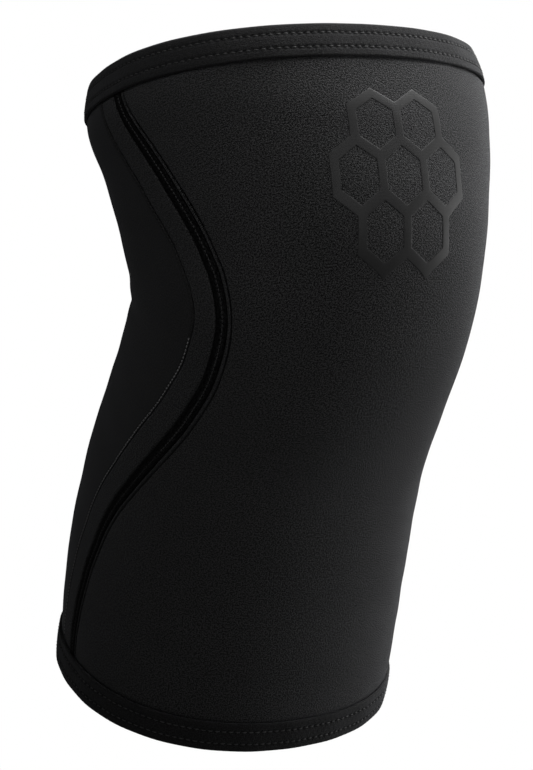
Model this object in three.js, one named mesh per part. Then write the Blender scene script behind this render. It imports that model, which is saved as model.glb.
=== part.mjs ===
import * as THREE from "three";
import { mergeVertices } from "three/addons/utils/BufferGeometryUtils.js";

// A knee sleeve of neoprene, with the form that it has on a slightly bent leg.
// Millimetres, +Z up, the kneecap towards -Y. The origin is the middle of the knee, in the hollow.

// Size and bend of the whole sleeve
const CALF_LENGTH = 135.5;
const THIGH_LENGTH = 102;
const SHIN_WIDTH = 120;
const CALF_LEAN = 28;
const THIGH_LEAN = 10;
const SQUARENESS = 2.15;

// Neoprene walls
const FRONT_WALL = 5;
const BACK_WALL = 4;
const WALL_BLEND = 8;

// Clearances between pieces
const GAP = 0.3;

// Hems: one strip of cloth folded over each rim
const HEM_HEIGHT = 12;
const HEM_CLOTH = 1;
const HEM_PROUD = 0.8;
const HEM_PUFF = 0.2;
const HEM_RAMP = 1.3;

// Side seams: a tape sunk into the butt seam, and a strip of the front's cloth behind it
const TAPE_WIDTH = 4.2;
const TAPE_THICKNESS = 0.6;
const TAPE_SINK = 0.15;
const STRIP_WIDTH = 11.6;
const CREVICE_DEPTH = 0.8;
const EDGE_ROUND = 1.4;

// How deep the creases in the hollow of the knee are, and how far round they reach, in degrees
const FOLD_DEPTH = 2.2;
const FOLD_SPREAD = 62;

// Film on the front, a rise above the knee along the axis: a lattice of seven cells
const FILM_RISE = 55;
const FILM_CELL = 9;
const FILM_STROKE = 3;
const FILM_THICKNESS = 0.35;

// How finely the faces follow the curves. The rows lie closest together where the sleeve bends.
// NUDGE is the share of the axis over which slopes are measured.
const OPEN_ROWS = 30;
const ROW_GATHER = 0.55;
const ROW_CENTRE = 0.62;
const FRONT_COLUMNS = 18;
const BACK_COLUMNS = 15;
const CENTRE_STEPS = 400;
const NUDGE = 0.01;

// Sections square to the leg's axis. at is a share of the axis, up from the lower rim.
// lean is a share of CALF_LEAN where it is negative and of THIGH_LEAN where it is positive.
// side, front and back are half widths and depths, as shares of half of SHIN_WIDTH.
const SECTIONS = [
  { at: 0.0, lean: -0.56, side: 1.03, front: 0.97, back: 1.07 },
  { at: 0.17, lean: -0.64, side: 1.03, front: 0.97, back: 1.13 },
  { at: 0.33, lean: -0.93, side: 1.0, front: 0.92, back: 1.11 },
  { at: 0.47, lean: -1.0, side: 0.96, front: 0.88, back: 1.06 },
  { at: 0.6, lean: -0.68, side: 0.93, front: 1.03, back: 1.01 },
  { at: 0.72, lean: 0.1, side: 0.99, front: 1.19, back: 0.94 },
  { at: 0.86, lean: 0.9, side: 1.09, front: 1.16, back: 1.06 },
  { at: 0.94, lean: 0.97, side: 1.13, front: 1.08, back: 1.26 },
  { at: 1.0, lean: 0.95, side: 1.08, front: 1.0, back: 1.32 },
];

// The side seam, in degrees round from the front: forward at the knee, on the side at both rims
const SEAM = [
  { at: 0.0, angle: 95 },
  { at: 0.1, angle: 94.8 },
  { at: 0.22, angle: 90 },
  { at: 0.34, angle: 82.8 },
  { at: 0.45, angle: 72 },
  { at: 0.55, angle: 60.6 },
  { at: 0.61, angle: 54.4 },
  { at: 0.665, angle: 51.4 },
  { at: 0.73, angle: 56.6 },
  { at: 0.82, angle: 69 },
  { at: 0.91, angle: 81.5 },
  { at: 1.0, angle: 90 },
];

// Creases in the hollow of the knee: depth is a share of FOLD_DEPTH, reach a share of the axis
const FOLDS = [
  { at: 0.63, depth: 0.75, reach: 0.024 },
  { at: 0.69, depth: 1.0, reach: 0.028 },
];

// Lengths that follow from the sizes above
const AXIS_LENGTH = CALF_LENGTH + THIGH_LENGTH;
const FILM_AT = (CALF_LENGTH + FILM_RISE) / AXIS_LENGTH;

const { clamp, degToRad, lerp, smoothstep } = THREE.MathUtils;

// A smooth curve through one column of a table, by cubics whose slopes follow the neighbouring rows
function smooth(rows, column, at) {
  const place = clamp(at, rows[0].at, rows.at(-1).at);
  const low = clamp(rows.findIndex((row) => row.at > place) - 1, 0, rows.length - 2);
  const start = place < rows.at(-1).at ? low : rows.length - 2;
  const rise = (k) => (rows[k + 1][column] - rows[k][column]) / (rows[k + 1].at - rows[k].at);
  const slope = (k) => {
    if (k === 0) return rise(0);
    if (k === rows.length - 1) return rise(k - 1);
    const before = rows[k].at - rows[k - 1].at;
    const after = rows[k + 1].at - rows[k].at;
    return (rise(k - 1) * after + rise(k) * before) / (before + after);
  };
  const width = rows[start + 1].at - rows[start].at;
  const t = (place - rows[start].at) / width;
  return (
    (2 * t ** 3 - 3 * t ** 2 + 1) * rows[start][column] +
    (t ** 3 - 2 * t ** 2 + t) * width * slope(start) +
    (3 * t ** 2 - 2 * t ** 3) * rows[start + 1][column] +
    (t ** 3 - t ** 2) * width * slope(start + 1)
  );
}

// The leg's lean from upright at one place on its axis
function leanAt(at) {
  const share = smooth(SECTIONS, "lean", at);
  return degToRad(share * (share < 0 ? CALF_LEAN : THIGH_LEAN));
}

// The axis is traced from the lower rim up by its lean, then moved to put the knee at the origin
function traceAxis() {
  const step = AXIS_LENGTH / CENTRE_STEPS;
  const points = [new THREE.Vector3()];
  for (let k = 0; k < CENTRE_STEPS; k += 1) {
    const lean = leanAt((k + 0.5) / CENTRE_STEPS);
    const move = new THREE.Vector3(0, Math.sin(lean), Math.cos(lean)).multiplyScalar(step);
    points.push(points[k].clone().add(move));
  }
  const knee = alongAxis(points, CALF_LENGTH / AXIS_LENGTH);
  return points.map((point) => point.sub(knee));
}

function alongAxis(points, at) {
  const place = clamp(at, 0, 1) * CENTRE_STEPS;
  const low = Math.min(Math.floor(place), CENTRE_STEPS - 1);
  return points[low].clone().lerp(points[low + 1], place - low);
}

const axis = traceAxis();

// How far round from the front an angle lies, on either side
function fromFront(angle) {
  return Math.abs(Math.atan2(Math.sin(angle), Math.cos(angle)));
}

// How far the creases in the hollow of the knee sink the surface
function foldDepth(at, angle) {
  const round = (Math.PI - fromFront(angle)) / degToRad(FOLD_SPREAD);
  const depths = FOLDS.map((fold) => {
    const along = (at - fold.at) / fold.reach;
    return FOLD_DEPTH * fold.depth * Math.exp(-(along ** 2) - round ** 2);
  });
  return depths.reduce((sum, depth) => sum + depth, 0);
}

// Half the sleeve's outside size in one direction: a rounded section, a little squarer than an ellipse
function radiusAt(at, angle) {
  const side = (SHIN_WIDTH / 2) * smooth(SECTIONS, "side", at);
  const deep = (SHIN_WIDTH / 2) * smooth(SECTIONS, Math.cos(angle) > 0 ? "front" : "back", at);
  const across = (Math.abs(Math.sin(angle)) / side) ** SQUARENESS;
  const through = (Math.abs(Math.cos(angle)) / deep) ** SQUARENESS;
  return (across + through) ** (-1 / SQUARENESS) - foldDepth(at, angle);
}

// A point under the sleeve's outside: angle runs from the front towards +X, depth goes inwards
function onSleeve(at, angle, depth) {
  const radius = radiusAt(at, angle) - depth;
  const lean = leanAt(at);
  const forward = radius * Math.cos(angle);
  const sideways = radius * Math.sin(angle);
  const offset = new THREE.Vector3(sideways, -forward * Math.cos(lean), forward * Math.sin(lean));
  return alongAxis(axis, at).add(offset);
}

// The angle of a line that keeps a distance behind the side seam, measured square to the seam
function besideSeam(at, distance) {
  const below = clamp(at - NUDGE, 0, 1);
  const above = clamp(at + NUDGE, 0, 1);
  const seam = degToRad(smooth(SEAM, "angle", at));
  const turn = degToRad(smooth(SEAM, "angle", above) - smooth(SEAM, "angle", below));
  const radius = radiusAt(at, seam);
  const slant = (radius * turn) / ((above - below) * AXIS_LENGTH);
  return seam + (distance * Math.hypot(1, slant)) / radius;
}

// The wall is thick in front and on the strips, and thins behind them to the back's wall
function wallAt(at, angle) {
  const behind = (fromFront(angle) - besideSeam(at, STRIP_WIDTH)) * radiusAt(at, angle);
  return lerp(FRONT_WALL, BACK_WALL, smoothstep(behind, 0, WALL_BLEND));
}

// Joins closed loops of points into one solid: in a ring, or capped at both ends
function sweep(loops, ring) {
  const count = loops[0].length;
  const index = [];
  const quad = (a, b, c, d) => index.push(a, b, c, a, c, d);
  const spans = ring ? loops.length : loops.length - 1;
  for (let i = 0; i < spans; i += 1) {
    const next = (i + 1) % loops.length;
    for (let k = 0; k < count; k += 1) {
      const side = (k + 1) % count;
      quad(i * count + k, i * count + side, next * count + side, next * count + k);
    }
  }
  if (!ring) {
    const last = (loops.length - 1) * count;
    for (let k = 0; k < count / 2 - 1; k += 1) {
      quad(k, count - 1 - k, count - 2 - k, k + 1);
      quad(last + k, last + k + 1, last + count - 2 - k, last + count - 1 - k);
    }
  }
  const geometry = new THREE.BufferGeometry().setFromPoints(loops.flat());
  geometry.setIndex(enclosed(loops.flat(), index) < 0 ? index.reverse() : index);
  geometry.computeVertexNormals();
  return geometry;
}

// Six times the volume that the faces enclose, negative where they point inwards
function enclosed(points, index) {
  let sum = 0;
  for (let k = 0; k < index.length; k += 3) {
    const [a, b, c] = [points[index[k]], points[index[k + 1]], points[index[k + 2]]];
    sum += a.dot(b.clone().cross(c));
  }
  return sum;
}

// Moves evenly spaced shares closer together around ROW_CENTRE, and leaves both ends in place
function gathered(share) {
  const wave = (turns) => (ROW_GATHER * Math.sin(2 * Math.PI * turns)) / (2 * Math.PI);
  return share - wave(share - ROW_CENTRE) - wave(ROW_CENTRE);
}

// Rows of the panels, from rim to rim. Under a hem the wall is pressed thinner by the cloth on it.
const HEM_SINK = HEM_CLOTH - HEM_PROUD + GAP;
const hemmedRows = [HEM_CLOTH + GAP, HEM_HEIGHT].map((height) => ({
  at: height / AXIS_LENGTH,
  sink: HEM_SINK,
}));
const openStart = (HEM_HEIGHT + HEM_RAMP) / AXIS_LENGTH;
const openRows = Array.from({ length: OPEN_ROWS }, (_, k) => ({
  at: lerp(openStart, 1 - openStart, gathered(k / (OPEN_ROWS - 1))),
  sink: 0,
}));
const upperRows = hemmedRows.map((row) => ({ ...row, at: 1 - row.at })).reverse();
const panelRows = [...hemmedRows, ...openRows, ...upperRows];

// A panel of the wall: columns hold an angle for each row and how deep the outside lies there
function panel(columns) {
  const loops = panelRows.map((row) => {
    const outside = columns.map((column) => {
      const depth = Math.max(column.sink, row.sink);
      return onSleeve(row.at, column.angle(row.at), depth);
    });
    const inside = columns.map((column) => {
      const angle = column.angle(row.at);
      return onSleeve(row.at, angle, wallAt(row.at, angle) - row.sink);
    });
    return [...outside, ...inside.reverse()];
  });
  return sweep(loops, false);
}

// Columns along the seat that is sunk for the tape, counted away from the seam
const SEAT_DEPTH = TAPE_SINK + TAPE_THICKNESS + GAP;
const SEAT_HALF = TAPE_WIDTH / 2 + GAP;
const seatEdge = [
  { away: GAP / 2, sink: SEAT_DEPTH },
  { away: SEAT_HALF, sink: SEAT_DEPTH },
  { away: SEAT_HALF + GAP, sink: 0 },
];
const creviceEdge = [
  { away: GAP / 2, sink: CREVICE_DEPTH },
  { away: EDGE_ROUND, sink: 0 },
];

function evenColumns(count, first, last) {
  return Array.from({ length: count }, (_, k) => ({
    angle: (at) => lerp(first(at), last(at), (k + 1) / (count + 1)),
    sink: 0,
  }));
}

// Columns of one edge of a panel on the left side: start is the edge's distance behind the seam
function edgeColumns(edge, start, direction) {
  return edge.map(({ away, sink }) => ({ angle: (at) => besideSeam(at, start + direction * away), sink }));
}

// The same columns on the other side of the sleeve, in the order that they come there
function mirrored(columns, turns = 0) {
  return columns.map(({ angle, sink }) => ({ angle: (at) => turns - angle(at), sink })).reverse();
}

function frontColumns() {
  const left = edgeColumns(seatEdge, 0, -1).reverse();
  const right = mirrored(left);
  return [...right, ...evenColumns(FRONT_COLUMNS, right.at(-1).angle, left[0].angle), ...left];
}

function backColumns() {
  const left = edgeColumns(creviceEdge, STRIP_WIDTH, 1);
  const right = mirrored(left, 2 * Math.PI);
  return [...left, ...evenColumns(BACK_COLUMNS, left.at(-1).angle, right[0].angle), ...right];
}

function stripColumns(sign) {
  const left = [...edgeColumns(seatEdge, 0, 1), ...edgeColumns(creviceEdge, STRIP_WIDTH, -1).reverse()];
  return sign > 0 ? left : mirrored(left, 2 * Math.PI);
}

// The tape lies in its seat between the two hems, a little crowned
function tape(sign) {
  const end = { at: (HEM_HEIGHT + GAP) / AXIS_LENGTH };
  const rows = [end, ...openRows, { at: 1 - end.at }];
  const across = [-TAPE_WIDTH / 2, 0, TAPE_WIDTH / 2];
  const loops = rows.map(({ at }) => {
    const point = (distance, depth) => onSleeve(at, sign * besideSeam(at, distance), depth);
    const outside = across.map((distance) => point(distance, distance ? TAPE_SINK : 0));
    const inside = across.map((distance) => point(distance, TAPE_SINK + TAPE_THICKNESS));
    return [...outside, ...inside.reverse()];
  });
  return sweep(loops, false);
}

// A hem's section, from its outer lower edge over the rim to the inner one, and back along the wall.
// Height runs from the rim. Depth runs under the outside, or where inner is set, from the inside.
function hemSection() {
  const under = HEM_CLOTH - HEM_PROUD;
  const leg = [
    { height: HEM_HEIGHT, depth: under },
    { height: HEM_HEIGHT, depth: -HEM_PROUD / 2 },
    { height: HEM_HEIGHT - HEM_CLOTH, depth: -HEM_PROUD },
    { height: HEM_HEIGHT / 2, depth: -HEM_PROUD - HEM_PUFF },
    { height: HEM_CLOTH * 1.6, depth: -HEM_PROUD },
    { height: HEM_CLOTH * 0.3, depth: under + HEM_CLOTH * 0.3 },
  ];
  const fold = { height: HEM_CLOTH, depth: under };
  const onInside = (point) => ({ ...point, inner: true });
  return [...leg, ...leg.map(onInside).reverse(), onInside(fold), fold];
}

// The hem bends where the panels under it do, so that the clearance holds between two flat faces
function hem(upper) {
  const round = [...frontColumns(), ...stripColumns(1), ...backColumns(), ...stripColumns(-1)];
  const open = round.filter((column) => column.sink === 0);
  const loops = open.map((column) =>
    hemSection().map(({ height, depth, inner }) => {
      const at = upper ? 1 - height / AXIS_LENGTH : height / AXIS_LENGTH;
      const angle = column.angle(at);
      return onSleeve(at, angle, inner ? wallAt(at, angle) - depth : depth);
    }),
  );
  return sweep(loops, true);
}

// The film's flat pattern: seven hexagonal cells, with strokes of one width between and around them
function filmShape() {
  const spread = FILM_STROKE / 2 / Math.cos(Math.PI / 6);
  const corners = (centre, size) =>
    Array.from({ length: 6 }, (_, k) => {
      const turn = (Math.PI / 3) * (k + 0.5);
      return new THREE.Vector2(Math.cos(turn), Math.sin(turn)).multiplyScalar(size).add(centre);
    });
  const ringCentres = Array.from({ length: 6 }, (_, k) => {
    const turn = (Math.PI / 3) * k;
    return new THREE.Vector2(Math.cos(turn), Math.sin(turn)).multiplyScalar(FILM_CELL * Math.sqrt(3));
  });
  const centres = [new THREE.Vector2(), ...ringCentres];
  const outline = [];
  for (const corner of centres.flatMap((centre) => corners(centre, FILM_CELL))) {
    const owners = centres.filter((centre) => centre.distanceTo(corner) < FILM_CELL * 1.01);
    const known = outline.some((point) => point.distanceTo(corner) < FILM_CELL * 0.5);
    if (owners.length === 3 || known) continue;
    const outwards = owners.reduce((sum, owner) => sum.add(corner).sub(owner), new THREE.Vector2());
    outline.push(corner.clone().addScaledVector(outwards.normalize(), spread));
  }
  outline.sort((a, b) => Math.atan2(a.y, a.x) - Math.atan2(b.y, b.x));
  const shape = new THREE.Shape(halved(outline));
  shape.holes = centres.map((centre) => new THREE.Path(halved(corners(centre, FILM_CELL - spread))));
  return shape;
}

// Adds the middle of each side, so that the film can follow the curve of the knee
function halved(points) {
  return points.flatMap((point, k) => [point, point.clone().lerp(points[(k + 1) % points.length], 0.5)]);
}

function film() {
  const geometry = new THREE.ExtrudeGeometry(filmShape(), { depth: FILM_THICKNESS, bevelEnabled: false });
  const span = onSleeve(FILM_AT + NUDGE, 0, 0).distanceTo(onSleeve(FILM_AT - NUDGE, 0, 0));
  const position = geometry.getAttribute("position");
  for (let k = 0; k < position.count; k += 1) {
    const at = FILM_AT + (position.getY(k) * 2 * NUDGE) / span;
    const angle = position.getX(k) / radiusAt(at, 0);
    const point = onSleeve(at, angle, -GAP - position.getZ(k));
    position.setXYZ(k, point.x, point.y, point.z);
  }
  geometry.deleteAttribute("normal");
  geometry.deleteAttribute("uv");
  const merged = mergeVertices(geometry, 1e-4);
  merged.computeVertexNormals();
  return merged;
}

const grainyCloth = new THREE.MeshStandardMaterial({ color: 0x232324, roughness: 0.82, metalness: 0 });
const smoothCloth = new THREE.MeshStandardMaterial({ color: 0x1e1e1f, roughness: 0.75, metalness: 0 });
const hemCloth = new THREE.MeshStandardMaterial({ color: 0x202021, roughness: 0.78, metalness: 0 });
const seamTape = new THREE.MeshStandardMaterial({ color: 0x0c0c0d, roughness: 0.6, metalness: 0 });
const filmMaterial = new THREE.MeshStandardMaterial({ color: 0x3a3a3c, roughness: 0.45, metalness: 0 });

const sleeve = new THREE.Group();

function add(name, geometry, material) {
  const mesh = new THREE.Mesh(geometry, material);
  mesh.name = name;
  sleeve.add(mesh);
}

add("front_panel", panel(frontColumns()), grainyCloth);
add("back_panel", panel(backColumns()), smoothCloth);
for (const [side, sign] of [["left", 1], ["right", -1]]) {
  add(`side_strip_${side}`, panel(stripColumns(sign)), grainyCloth);
  add(`seam_tape_${side}`, tape(sign), seamTape);
}
add("hem_top", hem(true), hemCloth);
add("hem_bottom", hem(false), hemCloth);
add("knee_print", film(), filmMaterial);

export default sleeve;
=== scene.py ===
# %% [markdown]
# A knee sleeve is a tube of neoprene, a foam rubber with knitted cloth glued to both of its faces.
# It is cut from a front, a back and two narrow side strips, so that it is already bent like a knee.
# The solids of the frame hold its real size and place. This script dresses each of them: first the
# surface that all pieces lie on, then the cloths, the pieces, the seams and the stitches.

import bpy
import numpy as np
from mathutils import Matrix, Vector


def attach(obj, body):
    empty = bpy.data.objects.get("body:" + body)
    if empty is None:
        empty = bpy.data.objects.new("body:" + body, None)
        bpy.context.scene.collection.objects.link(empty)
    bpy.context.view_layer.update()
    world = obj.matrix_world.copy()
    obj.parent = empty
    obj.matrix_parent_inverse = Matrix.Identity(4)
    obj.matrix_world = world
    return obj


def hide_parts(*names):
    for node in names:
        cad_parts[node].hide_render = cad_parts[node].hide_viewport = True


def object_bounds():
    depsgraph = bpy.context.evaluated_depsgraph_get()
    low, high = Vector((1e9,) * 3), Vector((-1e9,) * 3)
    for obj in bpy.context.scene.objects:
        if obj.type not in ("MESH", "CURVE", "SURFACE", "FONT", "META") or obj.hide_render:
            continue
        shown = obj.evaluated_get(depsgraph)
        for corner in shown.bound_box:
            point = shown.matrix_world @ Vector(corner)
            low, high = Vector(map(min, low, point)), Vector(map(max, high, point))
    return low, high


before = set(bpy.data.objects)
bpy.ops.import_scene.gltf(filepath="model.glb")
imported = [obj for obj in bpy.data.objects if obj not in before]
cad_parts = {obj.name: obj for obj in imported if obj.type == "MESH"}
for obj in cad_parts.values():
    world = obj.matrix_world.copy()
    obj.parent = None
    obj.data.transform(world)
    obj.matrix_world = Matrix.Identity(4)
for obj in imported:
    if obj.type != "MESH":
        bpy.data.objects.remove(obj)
cad_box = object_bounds()
print("solids:", sorted(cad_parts))

# %% [markdown]
# Everything is worked out from a few real sizes. Lengths are in metres, so a size that is easier to
# read in millimetres is written times MM. Angles run round the leg from the front towards +X.

# %% Driving sizes
MM = 0.001
CALF_LENGTH = 135.5 * MM
THIGH_LENGTH = 102 * MM
AXIS_LENGTH = CALF_LENGTH + THIGH_LENGTH
SHIN_WIDTH = 120 * MM
CALF_LEAN = 28
THIGH_LEAN = 10
SQUARENESS = 2.15
FRONT_WALL = 5 * MM
BACK_WALL = 4 * MM
WALL_BLEND = 8 * MM
STRIP_WIDTH = 11.6 * MM
GAP = 0.3 * MM
HEM_HEIGHT = 12 * MM
HEM_CLOTH = 1 * MM
HEM_PROUD = 0.8 * MM
print(f"axis {AXIS_LENGTH * 1000:.1f} mm, knee at {CALF_LENGTH / AXIS_LENGTH:.3f} of it")

# %% [markdown]
# The form is a table of sections square to the leg, as a pattern maker would measure it: how far the
# leg leans there, and how far the cloth stands to the side, the front and the back. Two more tables
# give the line of the side seam and the creases in the hollow of the knee. Lengths are shares of the
# driving sizes, so a change of one size carries through.

# %% Tables of sections, seam and creases


def table(names, *rows):
    """Named columns from short rows."""
    return dict(zip(names.split(), np.array(rows, float).T))


SECTIONS = table(
    "at lean side front back",
    (0.0, -0.56, 1.03, 0.97, 1.07),
    (0.17, -0.64, 1.03, 0.97, 1.13),
    (0.33, -0.93, 1.0, 0.92, 1.11),
    (0.47, -1.0, 0.96, 0.88, 1.06),
    (0.6, -0.68, 0.93, 1.03, 1.01),
    (0.72, 0.1, 0.99, 1.19, 0.94),
    (0.86, 0.9, 1.09, 1.16, 1.06),
    (0.94, 0.97, 1.13, 1.08, 1.26),
    (1.0, 0.95, 1.08, 1.0, 1.32),
)
SEAM = table(
    "at angle",
    (0.0, 95),
    (0.1, 94.8),
    (0.22, 90),
    (0.34, 82.8),
    (0.45, 72),
    (0.55, 60.6),
    (0.61, 54.4),
    (0.665, 51.4),
    (0.73, 56.6),
    (0.82, 69),
    (0.91, 81.5),
    (1.0, 90),
)
FOLDS = table("at depth reach", (0.63, 0.75, 0.024), (0.69, 1.0, 0.028))
FOLD_DEPTH = 2.2 * MM
FOLD_SPREAD = 62
print("sections:", len(SECTIONS["at"]), "seam rows:", len(SEAM["at"]), "creases:", len(FOLDS["at"]))

# %% [markdown]
# One function will turn a place on the sleeve (share of the axis, angle, depth under the outside) into
# a point. Modelling by hand with sculpting tools could reach the same form, but then the tape, the
# stitches and the print would each have to be fitted to it. With a function, they all lie on it.
# It starts with a curve through the rows of a table, and with the bent line in the middle of the leg.

# %% Curves through a table


def smooth(rows, column, at):
    """Cubics through a column. The slope at a row is the mean of the rises beside it, each weighted
    by the length of the other side, and at both ends it is the rise of the last stretch."""
    x, y = rows["at"], rows[column]
    length = np.diff(x)
    rise = np.diff(y) / length
    inner = (rise[:-1] * length[1:] + rise[1:] * length[:-1]) / (length[:-1] + length[1:])
    slope = np.concatenate([rise[:1], inner, rise[-1:]])
    at = np.clip(at, x[0], x[-1])
    k = np.clip(np.searchsorted(x, at, side="right") - 1, 0, len(length) - 1)
    t = (at - x[k]) / length[k]
    value = (2 * t**3 - 3 * t**2 + 1) * y[k] + (3 * t**2 - 2 * t**3) * y[k + 1]
    return value + length[k] * ((t**3 - 2 * t**2 + t) * slope[k] + (t**3 - t**2) * slope[k + 1])


print(f"seam at the knee: {smooth(SEAM, 'angle', CALF_LENGTH / AXIS_LENGTH):.1f} degrees from the front")

# %% The line of the leg
AXIS_STEPS = 400


def lean_at(at):
    """The leg's lean from upright: the table's share times the lean of the calf or of the thigh."""
    share = smooth(SECTIONS, "lean", at)
    return np.radians(share * np.where(share < 0, CALF_LEAN, THIGH_LEAN))


def leg_line(at):
    """Y and Z along the leg: the sum of short steps, each in the direction of the lean. The knee is
    at the origin."""
    lean = lean_at((at[1:] + at[:-1]) / 2)
    path = np.zeros((2, len(at)))
    path[:, 1:] = np.cumsum([np.sin(lean), np.cos(lean)], axis=1) * AXIS_LENGTH / (len(at) - 1)
    knee = [[np.interp(CALF_LENGTH / AXIS_LENGTH, at, row)] for row in path]
    return path - knee


axis_at = np.linspace(0, 1, AXIS_STEPS + 1)
axis_path = leg_line(axis_at)
print("rims at y and z:", np.round(axis_path[:, [0, -1]].T, 4).tolist())

# %% [markdown]
# Two things keep the tube from looking turned on a lathe. The worn sleeve creases behind the knee,
# where the cloth has too little room, and the cloth lies a little uneven all over. Noise would do for
# the second, but a few long sine waves are smooth everywhere and the same on each run.

# %% Creases and waves


def from_front(angle):
    """How far round from the front an angle lies, on either side."""
    return np.abs(np.arctan2(np.sin(angle), np.cos(angle)))


def fold_depth(at, angle):
    """Sum over the creases: depth times a bell curve along the leg and a wider one round from the back."""
    round_ = (np.pi - from_front(angle)) / np.radians(FOLD_SPREAD)
    total = 0.0
    for fold_at, depth, reach in zip(*FOLDS.values()):
        total = total + FOLD_DEPTH * depth * np.exp(-(((at - fold_at) / reach) ** 2) - round_**2)
    return total


# Height in metres, waves along the axis, waves round the leg, and where they start
UNEVEN = table(
    "height along round start",
    (0.10 * MM, 3.1, 2, 0.4),
    (0.09 * MM, 5.3, 3, 2.1),
    (0.07 * MM, 8.7, 1, 4.0),
    (0.05 * MM, 13.9, 4, 1.3),
)


def unevenness(at, angle):
    """Sum of long, low sine waves that run slanting over the sleeve."""
    total = 0.0
    for height, along, round_, start in zip(*UNEVEN.values()):
        total = total + height * np.sin(2 * np.pi * along * at + round_ * angle + start)
    return total


print(f"deepest crease {fold_depth(FOLDS['at'], np.pi).max() / MM:.1f} mm")

# %% [markdown]
# A leg's section is neither a circle nor a box. A superellipse with an exponent a little over 2 is
# just squarer than an ellipse, and its front and back halves can differ and still meet smoothly.

# %% A point on the sleeve


def radius_at(at, angle):
    """Half the outside size: a superellipse of side and front or back, less the creases."""
    side = SHIN_WIDTH / 2 * smooth(SECTIONS, "side", at)
    front = SHIN_WIDTH / 2 * smooth(SECTIONS, "front", at)
    back = SHIN_WIDTH / 2 * smooth(SECTIONS, "back", at)
    deep = np.where(np.cos(angle) > 0, front, back)
    across = (np.abs(np.sin(angle)) / side) ** SQUARENESS
    through = (np.abs(np.cos(angle)) / deep) ** SQUARENESS
    return (across + through) ** (-1 / SQUARENESS) - fold_depth(at, angle) + unevenness(at, angle)


def on_sleeve(at, angle, depth=0.0):
    """Axis point, plus the radius less the depth, turned by the angle in the leaning section."""
    at, angle, depth = np.broadcast_arrays(at, angle, depth)
    radius = radius_at(at, angle) - depth
    lean = lean_at(at)
    forward = radius * np.cos(angle)
    x = radius * np.sin(angle)
    y = np.interp(at, axis_at, axis_path[0]) - forward * np.cos(lean)
    z = np.interp(at, axis_at, axis_path[1]) + forward * np.sin(lean)
    return np.stack([x, y, z], -1)


def length_along(points):
    """Length along a row of points, counted from the first."""
    steps = np.linalg.norm(np.diff(points, axis=0), axis=-1)
    return np.concatenate([np.zeros((1, *steps.shape[1:])), np.cumsum(steps, axis=0)])


full_turn = np.linspace(0, 2 * np.pi, 721)
for name, at in (("calf rim", 0.0), ("knee", 0.5), ("thigh rim", 1.0)):
    print(f"{name}: {length_along(on_sleeve(at, full_turn))[-1] / MM:.0f} mm round")

# %% [markdown]
# The seam runs slanting over the sleeve, and the tape, the strip and both rows of stitches keep their
# distance from it. So every place near it is given as a distance square to the seam, and one function
# makes an angle of that. The wall gets thinner behind the strip, where the back's cloth begins.

# %% Beside the seam
SLOPE_STEP = 0.01


def beside_seam(at, distance):
    """The seam's angle, plus the distance over the radius, longer where the seam runs slanting."""
    below = np.clip(at - SLOPE_STEP, 0, 1)
    above = np.clip(at + SLOPE_STEP, 0, 1)
    seam = np.radians(smooth(SEAM, "angle", at))
    turn = np.radians(smooth(SEAM, "angle", above) - smooth(SEAM, "angle", below))
    radius = radius_at(at, seam)
    slant = radius * turn / ((above - below) * AXIS_LENGTH)
    return seam + distance * np.hypot(1, slant) / radius


def wall_at(at, angle):
    """Front wall as far as the strips, then a smooth step to the thinner wall of the back."""
    behind = (from_front(angle) - beside_seam(at, STRIP_WIDTH)) * radius_at(at, angle)
    t = np.clip(behind / WALL_BLEND, 0, 1)
    return FRONT_WALL + (BACK_WALL - FRONT_WALL) * t * t * (3 - 2 * t)


print(f"wall {wall_at(0.5, 0.0) / MM:.0f} mm in front and {wall_at(0.5, np.pi) / MM:.0f} mm behind")

# %% [markdown]
# The camera looks at the sleeve 28 degrees from its front and 5 degrees from above, through a lens of
# 85 mm from about two thirds of a metre. A portrait lens this near shows a little perspective: the
# upper hem curves up and the lower one down.

# %% Camera
CAMERA_AZIMUTH = -28
CAMERA_ELEVATION = 5
CAMERA_DISTANCE = 0.64
CAMERA_AIM = Vector((-8.4 * MM, 0, -10 * MM))
LENS = 85
SENSOR_WIDTH = 36
NEAREST = 0.01


def towards(azimuth, elevation):
    """Direction from the object: azimuth 0 is its front, and it grows towards +X."""
    a, e = np.radians(azimuth), np.radians(elevation)
    return Vector((np.sin(a) * np.cos(e), -np.cos(a) * np.cos(e), np.sin(e)))


def look(thing, direction, distance, aim):
    """Puts a camera or a lamp at a distance from the aim, turned towards it."""
    thing.location = aim + direction * distance
    thing.rotation_euler = direction.to_track_quat("Z", "Y").to_euler()


camera = bpy.data.objects.new("camera", bpy.data.cameras.new("camera"))
bpy.context.scene.collection.objects.link(camera)
camera.data.lens = LENS
camera.data.sensor_width = SENSOR_WIDTH
camera.data.clip_start = NEAREST
look(camera, towards(CAMERA_AZIMUTH, CAMERA_ELEVATION), CAMERA_DISTANCE, CAMERA_AIM)
bpy.context.scene.camera = camera
print("camera at", [round(v, 3) for v in camera.location])

# %% [markdown]
# A material is a graph of nodes. Wiring it node by node hides the sum that it stands for, so a small
# class gives each kind of node a short call. What a call returns goes straight into the next one, and
# the code reads like the formula. The same class fills node groups and materials.

# %% Helpers for node graphs


def socket(group, name, kind, way, value=None):
    """Adds an input or output to a node group."""
    made = group.interface.new_socket(name=name, in_out=way, socket_type=kind)
    if value is not None:
        made.default_value = value
    return made


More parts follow.
